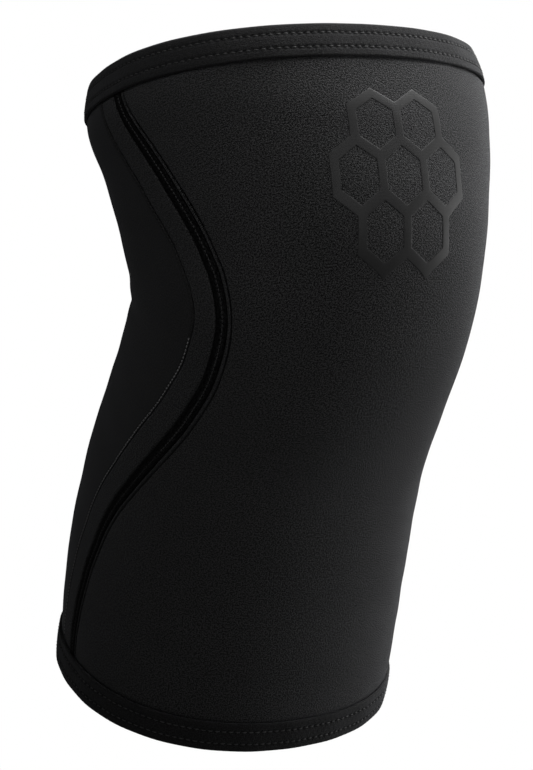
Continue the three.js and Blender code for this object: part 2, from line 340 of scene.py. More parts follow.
class Graph:
    """Short calls to add linked nodes to a tree: a value that is a socket is linked, others are set."""

    def __init__(self, tree):
        self.tree = tree

    def put(self, slot, value):
        if isinstance(value, bpy.types.NodeSocket):
            self.tree.links.new(value, slot)
        else:
            slot.default_value = value

    def node(self, kind, inputs=None, **settings):
        made = self.tree.nodes.new(kind)
        for name, value in settings.items():
            setattr(made, name, value)
        for name, value in (inputs or {}).items():
            self.put(made.inputs[name], value)
        return made

    def math(self, operation, *values):
        made = self.node("ShaderNodeMath", operation=operation)
        for slot, value in zip(made.inputs, values):
            self.put(slot, value)
        return made.outputs[0]

    def scaled(self, vector, factors):
        made = self.node("ShaderNodeVectorMath", operation="MULTIPLY")
        self.put(made.inputs[0], vector)
        self.put(made.inputs[1], factors)
        return made.outputs[0]

    def noise(self, vector, scale, detail=2.0, roughness=0.5):
        values = {"Vector": vector, "Scale": scale, "Detail": detail, "Roughness": roughness}
        return self.node("ShaderNodeTexNoise", values).outputs[0]

    def ramp(self, value, low, high, to_low=0.0, to_high=1.0):
        made = self.node("ShaderNodeMapRange", clamp=True)
        for slot, given in zip(made.inputs, (value, low, high, to_low, to_high)):
            self.put(slot, given)
        return made.outputs[0]


print("node calls:", [name for name in vars(Graph) if not name.startswith("_")])

# %% [markdown]
# Cloth first shows by its knit. Jersey has columns of loops, the wales, and rows of them, the courses,
# both under a millimetre apart here, and a fuzz of fibres over them. An image would show it too, but a
# formula stays sharp at any size. The group reads a UV map that is in real metres and gives a height
# for the bump and a tone for the colour. Every cloth uses it with its own pitch.

# %% The knit as a node group
WOBBLES_PER_METRE = 700.0
FIBRES_PER_METRE = 1850.0
# Lowest and highest height, and the tones that belong to them
KNIT_TONES = (-0.6, 1.0, 0.0, 2.4)


def knit_group():
    """Each loop is a V of two legs. Its height is a cosine down the course, shifted by the distance
    from the middle of the wale, times a round arch across each leg, plus the noise of the fibres."""
    group = bpy.data.node_groups.new("jersey_knit", "ShaderNodeTree")
    socket(group, "Cloth", "NodeSocketVector", "INPUT")
    socket(group, "Wales per Metre", "NodeSocketFloat", "INPUT", 1250.0)
    socket(group, "Courses per Metre", "NodeSocketFloat", "INPUT", 1300.0)
    socket(group, "Loops", "NodeSocketFloat", "INPUT", 0.5)
    socket(group, "Fuzz", "NodeSocketFloat", "INPUT", 0.5)
    socket(group, "Height", "NodeSocketFloat", "OUTPUT")
    socket(group, "Tone", "NodeSocketFloat", "OUTPUT")
    graph = Graph(group)
    given = graph.node("NodeGroupInput").outputs
    apart = graph.node("ShaderNodeSeparateXYZ", {"Vector": given["Cloth"]}).outputs
    wobble = graph.math("MULTIPLY", graph.noise(given["Cloth"], WOBBLES_PER_METRE), 0.5)
    u = graph.math("ADD", graph.math("MULTIPLY", apart["X"], given["Wales per Metre"]), wobble)
    v = graph.math("ADD", graph.math("MULTIPLY", apart["Y"], given["Courses per Metre"]), wobble)
    across = graph.math("ABSOLUTE", graph.math("SUBTRACT", graph.math("FRACT", u), 0.5))
    slanted = graph.math("ADD", v, across)
    course = graph.math("COSINE", graph.math("MULTIPLY", slanted, 2 * np.pi))
    raised = graph.math("MULTIPLY_ADD", course, 0.5, 0.5)
    arch = graph.math("ABSOLUTE", graph.math("SINE", graph.math("MULTIPLY", across, 2 * np.pi)))
    loop = graph.math("MULTIPLY", graph.math("MULTIPLY", raised, arch), given["Loops"])
    fibre = graph.noise(given["Cloth"], FIBRES_PER_METRE, 1.0, 1.0)
    height = graph.math("MULTIPLY_ADD", graph.math("SUBTRACT", fibre, 0.5), given["Fuzz"], loop)
    tone = graph.ramp(height, *KNIT_TONES)
    out = graph.node("NodeGroupOutput")
    graph.put(out.inputs["Height"], height)
    graph.put(out.inputs["Tone"], tone)
    return group


KNIT = knit_group()
print("node group:", KNIT.name)

# %% [markdown]
# Real black cloth is never one black. Handling leaves faint lighter and darker clouds, and lint and
# rubbed fibres leave specks. This second group puts both into one factor for the colour, from Object
# coordinates, so that the clouds run on from one piece to the next.

# %% Clouds and lint as a node group
WIDE_CLOUDS = 28.0
NEAR_CLOUDS = 160.0
SPECKS = 1900.0


def wear_group():
    """Two sizes of noise make the clouds, and the peaks of a fine noise make the specks."""
    group = bpy.data.node_groups.new("clouds_and_lint", "ShaderNodeTree")
    socket(group, "Clouds", "NodeSocketFloat", "INPUT", 0.2)
    socket(group, "Lint", "NodeSocketFloat", "INPUT", 0.5)
    socket(group, "Factor", "NodeSocketFloat", "OUTPUT")
    graph = Graph(group)
    given = graph.node("NodeGroupInput").outputs
    place = graph.node("ShaderNodeTexCoord").outputs["Object"]
    wide = graph.noise(place, WIDE_CLOUDS, 2.0)
    near = graph.noise(place, NEAR_CLOUDS, 3.0)
    both = graph.math("ADD", graph.math("SUBTRACT", wide, 0.5), graph.math("SUBTRACT", near, 0.5))
    clouds = graph.math("MULTIPLY_ADD", both, given["Clouds"], 1.0)
    peaks = graph.ramp(graph.noise(place, SPECKS, 1.0), 0.7, 0.82)
    factor = graph.math("MULTIPLY_ADD", peaks, given["Lint"], clouds)
    out = graph.node("NodeGroupOutput")
    graph.put(out.inputs["Factor"], factor)
    return group


WEAR = wear_group()
print("node group:", WEAR.name)

# %% [markdown]
# The cloths differ in how coarse and how fuzzy they are. The front and the strips have a grainy
# jersey, the back a finer and smoother one, and the hems a denser one. Fuzz scatters light forward, so
# a black jersey turns grey where it is seen edge on. The shader's sheen does that.

# %% Cloth materials
CLOTH_CLOUDS = 0.25
CLOTH_LINT = 0.4
SHEEN_COLOUR = (0.9, 0.92, 1.0, 1.0)


def new_material(name):
    """A material, the calls for its graph, its shader, and the UV map of the cloth in metres."""
    material = bpy.data.materials.new(name)
    material.use_nodes = True
    graph = Graph(material.node_tree)
    shader = material.node_tree.nodes["Principled BSDF"]
    return material, graph, shader, graph.node("ShaderNodeUVMap", uv_map="cloth").outputs["UV"]


def add_relief(graph, shader, height, distance):
    """Bump whose height of one stands for the distance."""
    bump = graph.node("ShaderNodeBump", {"Height": height, "Strength": 1.0, "Distance": distance})
    graph.put(shader.inputs["Normal"], bump.outputs["Normal"])


def cloth_material(name, colour, wales, courses, loops, fuzz, bump, roughness, sheen):
    """Base colour times knit tone times clouds, with the knit's height as bump."""
    material, graph, shader, cloth = new_material(name)
    pitches = {"Wales per Metre": wales, "Courses per Metre": courses}
    knit_inputs = {"Cloth": cloth, **pitches, "Loops": loops, "Fuzz": fuzz}
    knit = graph.node("ShaderNodeGroup", knit_inputs, node_tree=KNIT).outputs
    wear_inputs = {"Clouds": CLOTH_CLOUDS, "Lint": CLOTH_LINT}
    wear = graph.node("ShaderNodeGroup", wear_inputs, node_tree=WEAR).outputs
    factor = graph.math("MULTIPLY", knit["Tone"], wear["Factor"])
    graph.put(shader.inputs["Base Color"], graph.scaled(colour, factor))
    add_relief(graph, shader, knit["Height"], bump)
    rough = graph.ramp(knit["Height"], 0.0, 1.0, roughness + 0.08, roughness - 0.05)
    graph.put(shader.inputs["Roughness"], rough)
    shader.inputs["Specular IOR Level"].default_value = 0.25
    shader.inputs["Sheen Weight"].default_value = sheen
    shader.inputs["Sheen Roughness"].default_value = 0.45
    shader.inputs["Sheen Tint"].default_value = SHEEN_COLOUR
    return material


front_cloth = cloth_material(
    "front_jersey",
    colour=(0.0122, 0.0122, 0.0124),
    wales=1250,
    courses=1300,
    loops=0.5,
    fuzz=9.5,
    bump=0.055 * MM,
    roughness=0.85,
    sheen=0.06,
)
back_cloth = cloth_material(
    "back_jersey",
    colour=(0.0088, 0.0088, 0.009),
    wales=2100,
    courses=2300,
    loops=0.3,
    fuzz=2.6,
    bump=0.03 * MM,
    roughness=0.78,
    sheen=0.05,
)
hem_cloth = cloth_material(
    "hem_jersey",
    colour=(0.0042, 0.0042, 0.0044),
    wales=1500,
    courses=1500,
    loops=0.4,
    fuzz=5.0,
    bump=0.05 * MM,
    roughness=0.85,
    sheen=0.05,
)
print("cloths:", front_cloth.name, back_cloth.name, hem_cloth.name)

# %% [markdown]
# The tape is a dense, flat weave that swallows light. Its threads are too fine to show one by one, so
# a coarse grain of fibres carries its look, over a faint weave. A paler line along the row of stitches
# is a painted highlight.

# %% Tape material
RIBS_PER_METRE = 1400
THREADS_PER_METRE = 1800
TAPE_GRAIN = 1250.0
WEAVE_SHARE = 0.1
# Lowest and highest height, and the tones that belong to them
TAPE_TONES = (0.44, 0.62, 0.05, 3.6)
# Where the painted highlight along the stitched ridge runs, and how wide it is
RIDGE_PLACE = -0.4 * MM
RIDGE_HALF = (0.5 * MM, 1.1 * MM)


def tape_material():
    """Ribs times threads plus fibres make the height. The tone follows it, with a painted highlight along
    the ridge.
    """
    material, graph, shader, cloth = new_material("seam_tape_weave")
    apart = graph.node("ShaderNodeSeparateXYZ", {"Vector": cloth}).outputs
    ribs = graph.math("SINE", graph.math("MULTIPLY", apart["Y"], 2 * np.pi * RIBS_PER_METRE))
    threads = graph.math("SINE", graph.math("MULTIPLY", apart["X"], 2 * np.pi * THREADS_PER_METRE))
    fibre = graph.noise(cloth, TAPE_GRAIN, 1.0, 1.0)
    height = graph.math("MULTIPLY_ADD", graph.math("MULTIPLY", ribs, threads), WEAVE_SHARE, fibre)
    from_ridge = graph.math("ABSOLUTE", graph.math("SUBTRACT", apart["X"], RIDGE_PLACE))
    # Painted highlight: the tone is doubled along the stitched ridge and lowered beside it
    painted_ridge_highlight = graph.ramp(from_ridge, *RIDGE_HALF, 2.0, 0.8)
    tone = graph.math("MULTIPLY", graph.ramp(height, *TAPE_TONES), painted_ridge_highlight)
    graph.put(shader.inputs["Base Color"], graph.scaled((0.0027, 0.0027, 0.0028), tone))
    add_relief(graph, shader, height, 0.05 * MM)
    graph.put(shader.inputs["Roughness"], graph.ramp(height, 0.0, 1.0, 0.95, 0.8))
    shader.inputs["Specular IOR Level"].default_value = 0.05
    return material


tape_weave = tape_material()
print("tape:", tape_weave.name)

# %% [markdown]
# The thread is smooth polyester of two plies, and it catches the light, so stitches read as a row of
# dots. Two of its four tones are thread colours; the grey one is a painted highlight on rows that stand
# out, and the dull one painted shade on rows that sink into the dark.
# The print is a satin film that is melted into the cloth: it levels the knit out, but some of it
# shows through.

# %% Thread and film materials
PLY_SLANT = 3.0


def thread_material(name, colour):
    """Two plies show as a slanted stripe of tone along each stitch: a sine of place round it plus
    place along it."""
    material, graph, shader, cloth = new_material(name)
    apart = graph.node("ShaderNodeSeparateXYZ", {"Vector": cloth}).outputs
    turns = graph.math("MULTIPLY_ADD", apart["Y"], PLY_SLANT, apart["X"])
    ply = graph.math("SINE", graph.math("MULTIPLY", turns, 4 * np.pi))
    graph.put(shader.inputs["Base Color"], graph.scaled(colour, graph.ramp(ply, -1.0, 1.0, 0.75, 1.2)))
    graph.put(shader.inputs["Roughness"], graph.ramp(ply, -1.0, 1.0, 0.6, 0.4))
    shader.inputs["Specular IOR Level"].default_value = 0.25
    return material


def film_material():
    """Satin film: the knit shows through it faintly, and it is duller where the clouds are light."""
    material, graph, shader, cloth = new_material("print_film")
    knit = graph.node("ShaderNodeGroup", {"Cloth": cloth}, node_tree=KNIT).outputs
    wear = graph.node("ShaderNodeGroup", {"Clouds": 0.35, "Lint": 0.15}, node_tree=WEAR).outputs
    graph.put(shader.inputs["Base Color"], graph.scaled((0.0105, 0.0105, 0.0107), wear["Factor"]))
    add_relief(graph, shader, knit["Height"], 0.02 * MM)
    graph.put(shader.inputs["Roughness"], graph.ramp(wear["Factor"], 0.8, 1.2, 0.48, 0.62))
    shader.inputs["Specular IOR Level"].default_value = 0.22
    return material


black_thread = thread_material("black_thread", (0.018, 0.018, 0.0183))
hem_thread = thread_material("hem_thread", (0.03, 0.03, 0.0305))
# The dull tone is painted shade and the grey tone a painted highlight on the same black thread
painted_shade_thread = thread_material("painted_shade_thread", (0.0042, 0.0042, 0.0044))
painted_highlight_thread = thread_material("painted_highlight_thread", (0.13, 0.13, 0.132))
film = film_material()
print("trims:", black_thread.name, hem_thread.name, painted_shade_thread.name, painted_highlight_thread.name, film.name)

# %% [markdown]
# A piece is a grid of points: each row is a loop around the piece's section, and the rows run along
# it or, for a hem, all the way round the leg. The whole grid goes into the mesh at once. The UV map
# holds real metres, so that the knit has the same size on every piece.

# %% From a grid of points to a piece


def add_piece(name, points, faces, uv, material):
    """A mesh object from arrays. Faces that enclose a negative volume are turned to point outwards."""
    corner = points[faces]
    volume = np.einsum("ij,ij->", corner[:, 0], np.cross(corner[:, 1], corner[:, 2]))
    volume += np.einsum("ij,ij->", corner[:, 0], np.cross(corner[:, 2], corner[:, 3]))
    if volume < 0:
        faces, uv = faces[:, ::-1], uv[:, ::-1]
    mesh = bpy.data.meshes.new(name)
    mesh.from_pydata(points, [], faces)
    mesh.uv_layers.new(name="cloth").data.foreach_set("uv", uv.astype(np.float32).ravel())
    mesh.shade_smooth()
    mesh.materials.append(material)
    piece = bpy.data.objects.new(name, mesh)
    bpy.context.scene.collection.objects.link(piece)
    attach(piece, "root")
    print(f"{name}: {2 * len(faces)} triangles")
    return piece


def grid_faces(rows, count, ring):
    """Corner places of every quad of a grid whose loops close, and whose rows close if it is a ring."""
    i, k = np.meshgrid(np.arange(rows if ring else rows - 1), np.arange(count), indexing="ij")
    return np.stack([[i, k], [i, k + 1], [i + 1, k + 1], [i + 1, k]]).reshape(4, 2, -1)


def shell(name, loops, uv, ring, material):
    """A closed piece from loops of points. Ends that stay open are capped from one side of the loop
    to the other. uv has one more entry than points wherever the grid closes on itself."""
    rows, count = loops.shape[:2]
    corners = grid_faces(rows, count, ring)
    faces = ((corners[:, 0] % rows) * count + corners[:, 1] % count).T
    places = uv[corners[:, 0], corners[:, 1]].transpose(1, 0, 2)
    if not ring:
        k = np.arange(count // 2 - 1)
        cap = np.stack([k, count - 1 - k, count - 2 - k, k + 1], 1)
        last = (rows - 1) * count
        faces = np.concatenate([faces, cap, last + cap[:, ::-1]])
        flat = uv[:, :count].reshape(-1, 2)
        places = np.concatenate([places, flat[cap], flat[last + cap[:, ::-1]]])
    return add_piece(name, loops.reshape(-1, 3), faces, places, material)


print("quads of a closed grid of 3 by 4:", grid_faces(3, 4, True).shape[-1])

# %% [markdown]
# The panels meet in two kinds of seam. Under the tape, both edges are sunk to make a seat for it, and
# in front of the seat runs a narrow welt with a groove beside it. Behind the strip, the edges roll in
# to a crevice, and a row of stitches draws the back panel down next to it. Each edge is a short
# profile of depths, in millimetres, carried along the whole seam.

# %% Edges of the panels
TAPE_EDGE = table(
    "away depth",
    (0.15, 1.05),
    (2.3, 1.05),
    (2.42, 0.4),
    (2.6, 0.05),
    (2.95, -0.1),
    (3.15, 0.0),
    (3.25, 0.8),
    (3.35, 1.7),
    (3.9, 1.7),
    (4.0, 0.8),
    (4.2, 0.06),
    (4.8, -0.04),
    (6.5, -0.1),
    (9.0, 0.0),
)
STRIP_FRONT = table(
    "away depth",
    (0.15, 1.05),
    (2.3, 1.05),
    (2.42, 0.5),
    (2.7, 0.12),
    (3.3, 0.0),
    (4.6, -0.05),
)
STRIP_REAR = table(
    "away depth",
    (0.15, 0.9),
    (0.2, 0.4),
    (0.35, 0.15),
    (0.8, 0.02),
    (2.2, -0.05),
    (3.6, -0.06),
)
BACK_EDGE = table(
    "away depth",
    (0.15, 0.9),
    (0.2, 0.4),
    (0.3, 0.2),
    (0.45, 0.16),
    (0.65, 0.2),
    (0.9, 0.12),
    (1.2, 0.02),
    (2.4, -0.05),
    (3.6, -0.1),
    (6.0, -0.08),
    (9.0, 0.0),
)


def edge(rows):
    """Distances and depths of a profile in metres, with the middle of each two rows put in."""
    away = rows["away"]
    away = np.sort(np.concatenate([away, (away[1:] + away[:-1]) / 2]))
    return away * MM, np.interp(away, rows["away"], rows["depth"]) * MM


print("columns of an edge:", len(edge(TAPE_EDGE)[0]), len(edge(BACK_EDGE)[0]))

# %% [markdown]
# The panels run on under the hems, where they lie deeper to make room for the folded cloth. So their
# rows stand close together where that step is, and evenly everywhere else. A bevel would round the
# step as well, but rows at chosen heights give it the same form on every panel.

# %% Rows of the panels
ROWS = 220
HEM_RAMP = 1.3 * MM
HEM_SINK = HEM_CLOTH - HEM_PROUD + GAP
INNER_CREASE = 0.35

step_rows = HEM_HEIGHT + np.array([-0.3, 0.0, 0.3, 0.6, 0.9, 1.2, 1.6]) * MM
even_rows = np.linspace(HEM_CLOTH + GAP, AXIS_LENGTH - HEM_CLOTH - GAP, ROWS)
heights = np.unique(np.concatenate([even_rows, step_rows, AXIS_LENGTH - step_rows]))
row_at = (heights / AXIS_LENGTH)[:, None]
from_rim = np.minimum(heights, AXIS_LENGTH - heights)[:, None]
under_hem = np.clip(1 - (from_rim - HEM_HEIGHT) / HEM_RAMP, 0, 1)
row_sink = HEM_SINK * under_hem


def cloth_uv(points, middle):
    """Length along each column and each row of the grid, counted from one column, as on cut cloth."""
    along = length_along(points)
    across = length_along(points.transpose(1, 0, 2)).T
    return np.stack([across - across[:, middle, None], along], -1)


def panel(name, angle, depth, material):
    """Outside at the profile's depth, or deeper under a hem, and inside at the wall's thickness."""
    outside = on_sleeve(row_at, angle, np.maximum(depth, row_sink))
    wall = wall_at(row_at, angle) - row_sink
    crease = INNER_CREASE * np.maximum(depth, 0) * (1 - under_hem)
    inside = on_sleeve(row_at, angle, wall - crease)
    loops = np.concatenate([outside, inside[:, ::-1]], 1)
    uv = cloth_uv(outside, angle.shape[1] // 2)
    return shell(name, loops, np.concatenate([uv, uv[:, ::-1], uv[:, :1]], 1), False, material)


print("rows of a panel:", len(heights))

# %% [markdown]
# The front panel covers the shin, the kneecap and the front of the thigh. Its columns are the profile
# of the seam at both edges, with even columns between them. The knee needs no cut of its own, since
# the surface is bent already.

# %% Front panel
FRONT_COLUMNS = 72


def across_panel(first, last, count):
    """Even columns between two edges."""
    share = (np.arange(count) + 1) / (count + 1)
    return first + (last - first) * share


away, depth = edge(TAPE_EDGE)
left_edge = beside_seam(row_at, -away[::-1])
middle_angles = across_panel(-left_edge[:, :1], left_edge[:, :1], FRONT_COLUMNS)
front_angle = np.concatenate([-left_edge[:, ::-1], middle_angles, left_edge], 1)
front_depth = np.concatenate([depth, np.zeros(FRONT_COLUMNS), depth[::-1]])[None]
front_panel = panel("front_panel_cloth", front_angle, front_depth, front_cloth)
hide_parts("front_panel")

# %% [markdown]
# The back panel is one piece of the finer cloth from strip to strip, with the creases of the hollow of
# the knee. It is made as the front is, and its angles run on past half a turn, so that it is one grid.

# %% Back panel
BACK_COLUMNS = 76

away, depth = edge(BACK_EDGE)
near_edge = beside_seam(row_at, STRIP_WIDTH + away)
far_edge = 2 * np.pi - near_edge[:, ::-1]
middle_angles = across_panel(near_edge[:, -1:], far_edge[:, :1], BACK_COLUMNS)
back_angle = np.concatenate([near_edge, middle_angles, far_edge], 1)
back_depth = np.concatenate([depth, np.zeros(BACK_COLUMNS), depth[::-1]])[None]
back_panel = panel("back_panel_cloth", back_angle, back_depth, back_cloth)
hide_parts("back_panel")

# %% [markdown]
# The side strips are cut from the same cloth as the front. They are the same on both sides of the
# leg, so one loop makes them with the sign of the side.

# %% Side strips
front_away, front_part = edge(STRIP_FRONT)
rear_away, rear_part = edge(STRIP_REAR)
strip_away = np.concatenate([front_away, (STRIP_WIDTH - rear_away)[::-1]])
strip_depth = np.concatenate([front_part, rear_part[::-1]])[None]
for side, sign in (("left", 1), ("right", -1)):
    angle = sign * beside_seam(row_at, strip_away)
    strip = panel(f"side_strip_{side}_cloth", angle, strip_depth, front_cloth)
    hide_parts(f"side_strip_{side}")

# %% [markdown]
# The tape is a profile carried along the seam: a flat band with rounded edges, drawn down a little
# where it is stitched. Its stitches lie in front of its middle, as the needle has to catch the front
# panel's edge below it.

# %% Seam tapes
TAPE_PROFILE = table(
    "away depth",
    (-2.1, 0.7),
    (-2.08, 0.35),
    (-1.98, 0.16),
    (-1.7, 0.06),
    (-1.0, 0.02),
    (-0.7, 0.08),
    (-0.42, 0.2),
    (-0.14, 0.08),
    (0.2, 0.0),
    (1.2, 0.02),
    (1.7, 0.06),
    (1.98, 0.16),
    (2.08, 0.35),
    (2.1, 0.7),
)
TAPE_BED = 0.75 * MM
TAPE_ROWS = 320

tape_heights = np.linspace(HEM_HEIGHT + GAP, AXIS_LENGTH - HEM_HEIGHT - GAP, TAPE_ROWS)
tape_at = tape_heights[:, None] / AXIS_LENGTH
for side, sign in (("left", 1), ("right", -1)):
    place = sign * beside_seam(tape_at, TAPE_PROFILE["away"] * MM)
    top = on_sleeve(tape_at, place, TAPE_PROFILE["depth"] * MM)
    under = on_sleeve(tape_at, place, TAPE_BED)
    loops = np.concatenate([top, under[:, ::-1]], 1)
    uv = cloth_uv(top, top.shape[1] // 2)
    uv = np.concatenate([uv, uv[:, ::-1], uv[:, :1]], 1)
    tape = shell(f"seam_tape_{side}_weave", loops, uv, False, tape_weave)
    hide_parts(f"seam_tape_{side}")

# %% [markdown]
# Each hem is a strip of cloth folded over the cut rim and sewn through with two rows of stitches. The
# thread pulls the cloth down into two grooves, deeper at each stitch, and the cloth between them
# stands up in small puckers. So the hem is a profile whose depth also depends on the place along it.

# %% Relief and profile of a hem
HEM_ROWS = (3.8 * MM, 8.8 * MM)
GROOVE = 0.42 * MM
GROOVE_REACH = 0.55 * MM
PUFF = 0.25 * MM
SWAY = 0.12 * MM
SWAYS = 9
RIPPLE = 0.08 * MM
RIPPLES = 23
PUCKER = 0.035 * MM
PULL = 0.3
RIM_ROUND = 1.3 * MM
LIP = 0.5 * MM
LEG_POINTS = 30
RIM_POINTS = 15


def hem_relief(height, along, count):
    """Puff of the folded cloth, less a bell-shaped groove at each row of stitches that deepens at
    every stitch, plus low puckers between the rows and slow waves of the whole edge."""
    share = np.clip(height / HEM_HEIGHT, 0, 1)
    phase = 2 * np.pi * count * along
    total = PUFF * np.sin(np.pi * share) + SWAY * np.sin(2 * np.pi * SWAYS * along + 1.0) * share
    total = total + RIPPLE * np.sin(2 * np.pi * RIPPLES * along + 2.0)
    total = total + PUCKER * np.cos(phase) * np.sin(2 * np.pi * height / (HEM_ROWS[1] - HEM_ROWS[0]))
    for row in HEM_ROWS:
        bell = np.exp(-(((height - row) / GROOVE_REACH) ** 2))
        total = total - GROOVE * bell * (1 - PULL + PULL * np.cos(phase))
    return total


def hem_profile():
    """Heights and sides of the hem's section: up the outer leg from a rounded lip, and over the rim
    in half a superellipse. The inner leg repeats the outer one."""
    lip = [HEM_HEIGHT, HEM_HEIGHT, HEM_HEIGHT - LIP * 0.4]
    leg = np.concatenate([lip, np.linspace(HEM_HEIGHT - LIP, RIM_ROUND, LEG_POINTS)])
    out = np.concatenate([[0.0, 0.55, 0.9], np.ones(LEG_POINTS)])
    arc = np.linspace(0, np.pi, RIM_POINTS + 2)[1:-1]
    rim = RIM_ROUND * (1 - np.sin(arc) ** 0.8)
    side = np.sign(np.cos(arc)) * np.abs(np.cos(arc)) ** 0.55
    return leg, out, rim, side


print("points of a hem's leg and rim:", [len(part) for part in hem_profile()[1:3]])

# %% Hems
STITCH_PITCH = 2.5 * MM
COLUMNS_A_STITCH = 5
INNER_RELIEF = 0.6


def hem(name, upper):
    """The hem's point is the outside, moved out by the proud height and the relief. The inner side
    has a flatter relief, and under the cloth the loop runs back along the wall."""
    rim_at = 1.0 if upper else 0.0
    girth = length_along(on_sleeve(rim_at, full_turn))[-1]
    count = round(girth / STITCH_PITCH)
    columns = count * COLUMNS_A_STITCH
    along = (np.arange(columns) / columns)[:, None]
    angle = 2 * np.pi * along
    leg, out, rim, side = hem_profile()

    def share(height):
        return 1 - height / AXIS_LENGTH if upper else height / AXIS_LENGTH

    def point(height, depth):
        return on_sleeve(share(height), angle, depth)

    def wall(height):
        return wall_at(share(height), angle)

    under = HEM_CLOTH - HEM_PROUD
    relief = hem_relief(leg, along, count)
    outer = point(leg, under - out * (HEM_CLOTH + relief))
    inner = point(leg, wall(leg) - under + out * (HEM_CLOTH + INNER_RELIEF * relief))
    half = wall(rim) / 2 + HEM_PROUD + (0.8 + 0.2 * side) * hem_relief(rim, along, count)
    over = point(rim, wall(rim) / 2 - side * half)
    top = np.array([HEM_CLOTH])
    loops = [outer, over, inner[:, ::-1], point(top, wall(top) - under), point(top, under)]
    loops = np.concatenate(loops, 1)
    around = length_along(np.concatenate([outer[:, 10], outer[:1, 10]]))
    down = length_along(np.concatenate([loops[0], loops[:1, 0]]))
    uv = np.stack(np.meshgrid(around, down, indexing="ij"), -1)
    return shell(name, loops, uv, True, hem_cloth), count


hem_top, top_count = hem("hem_top_cloth", True)
hem_bottom, bottom_count = hem("hem_bottom_cloth", False)
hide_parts("hem_top")
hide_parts("hem_bottom")
print("stitches round the hems:", top_count, bottom_count)

# %% [markdown]
# A stitch that shows is a short bar of thread whose ends dive into the cloth. There are about two
# thousand, so each one has only a few dozen faces. All stitches of a seam are one array: a centre, the
# direction of the seam and the direction out of the cloth give each of them its own little frame.

# %% One stitch, many times
STITCH_LENGTH = 1.75 * MM
STITCH_RADIUS = 0.24 * MM
STITCH_FLATNESS = 0.8
STITCH_ARCH = 0.35
ALONG_STITCH = 6
ROUND_STITCH = 6
END_ROUND = 1.04
FRAME_STEP = 1e-3


def stitch_frames(at, angle, depth, inward=False):
    """Centres of one row with three unit directions: along the row, beside it and out of the cloth."""
    centre = on_sleeve(at, angle, depth)
    around = on_sleeve(at, angle + FRAME_STEP, depth) - on_sleeve(at, angle - FRAME_STEP, depth)
    along = on_sleeve(at + FRAME_STEP, angle, depth) - on_sleeve(at - FRAME_STEP, angle, depth)
    out = np.cross(around, along) * (-1 if inward else 1)
    out /= np.linalg.norm(out, axis=-1, keepdims=True)
    run = np.gradient(centre, axis=0)
    run /= np.linalg.norm(run, axis=-1, keepdims=True)
    return np.stack([centre, run, np.cross(out, run), out], 1)


def stitches(name, frames, material, length=STITCH_LENGTH):
    """Bars of thread: along the row by the length, round by a radius that shrinks towards both ends,
    and out of the cloth by a low arch."""
    t = np.linspace(-1, 1, ALONG_STITCH)[:, None]
    phi = np.linspace(0, 2 * np.pi, ROUND_STITCH, endpoint=False)[None]
    radius = STITCH_RADIUS * np.sqrt(END_ROUND - t**2)
    x = length / 2 * t + 0 * phi
    y = radius * np.cos(phi)
    z = STITCH_FLATNESS * radius * np.sin(phi) + STITCH_ARCH * STITCH_RADIUS * (1 - 3 * t**2)
    bar = np.stack([np.ones_like(x), x, y, z], -1).reshape(-1, 4)
    points = np.einsum("pj,njk->npk", bar, frames)
    corners = grid_faces(ALONG_STITCH, ROUND_STITCH, False)
    one = (corners[:, 0] * ROUND_STITCH + corners[:, 1] % ROUND_STITCH).T
    ends = np.array([[0, 3, 2, 1], [0, 5, 4, 3]])
    one = np.concatenate([one, ends, (ALONG_STITCH - 1) * ROUND_STITCH + ends[:, ::-1]])
    faces = (one[None] + len(bar) * np.arange(len(frames))[:, None, None]).reshape(-1, 4)
    uv = np.stack([one % ROUND_STITCH / ROUND_STITCH, one // ROUND_STITCH / ALONG_STITCH], -1)
    uv = np.tile(uv, (len(frames), 1, 1))
    return add_piece(name, points.reshape(-1, 3), faces, uv, material)


print("faces of one stitch:", (ALONG_STITCH - 1) * ROUND_STITCH + 4)

# %% Stitches of the hems


def hem_stitches(name, upper, count):
    """Two rows outside and two inside, each at its groove's depth."""
    angle = 2 * np.pi * (np.arange(count) + 0.5) / count
    rows = []
    for row in HEM_ROWS:
        at = np.full(count, 1 - row / AXIS_LENGTH if upper else row / AXIS_LENGTH)
        relief = hem_relief(row, angle / (2 * np.pi), count)
        rows.append(stitch_frames(at, angle, -HEM_PROUD - relief))
        inside = wall_at(at, angle) + HEM_PROUD + INNER_RELIEF * relief
        rows.append(stitch_frames(at, angle, inside, True))
    return stitches(name, np.concatenate(rows), hem_thread)


top_stitches = hem_stitches("hem_top_stitches", True, top_count)
bottom_stitches = hem_stitches("hem_bottom_stitches", False, bottom_count)

# %% [markdown]
# Along each side seam run two rows: a fine chain that draws the tape down, and a row behind the strip.
# The chain carries painted shade on the calf, where it sinks into the black of the tape, and shows on the
# thigh, and the rear row has a painted highlight on the calf and painted shade above the knee. So each row
# is made in two parts with threads of two tones.

# %% Stitches of the side seams
TAPE_STITCHES = -0.42 * MM
REAR_STITCHES = 0.65 * MM
STITCH_SINK = 0.1 * MM
TAPE_PITCH = 1.45 * MM
REAR_PITCH = 1.5 * MM
FINE_LENGTH = 1.25 * MM
# Shares of each row, from the calf, where the painted highlight and painted shade of the thread change
TAPE_CHANGE = 0.42
REAR_CHANGE = 0.63
SEAM_STEPS = 1500


def seam_row(distance, sign, pitch):
    """Frames one pitch apart along a line beside the seam, on the side of the sign."""
    end = HEM_HEIGHT + STITCH_PITCH
    at = np.linspace(end, AXIS_LENGTH - end, SEAM_STEPS) / AXIS_LENGTH
    length = length_along(on_sleeve(at, beside_seam(at, distance)))
    even = np.interp(np.linspace(0, length[-1], int(length[-1] / pitch)), length, at)
    return stitch_frames(even, sign * beside_seam(even, distance), STITCH_SINK)


def two_tones(name, side, row, change, calf_thread, thigh_thread):
    """The row as two pieces that meet at a share of it, counted from the calf, where the thread's painted
    light and shade change.
    """
    k = int(len(row) * change)
    parts = (("calf", row[:k], calf_thread), ("thigh", row[k:], thigh_thread))
    return [
        stitches(f"{name}_{part}_{side}", frames, thread, FINE_LENGTH)
        for part, frames, thread in parts
    ]


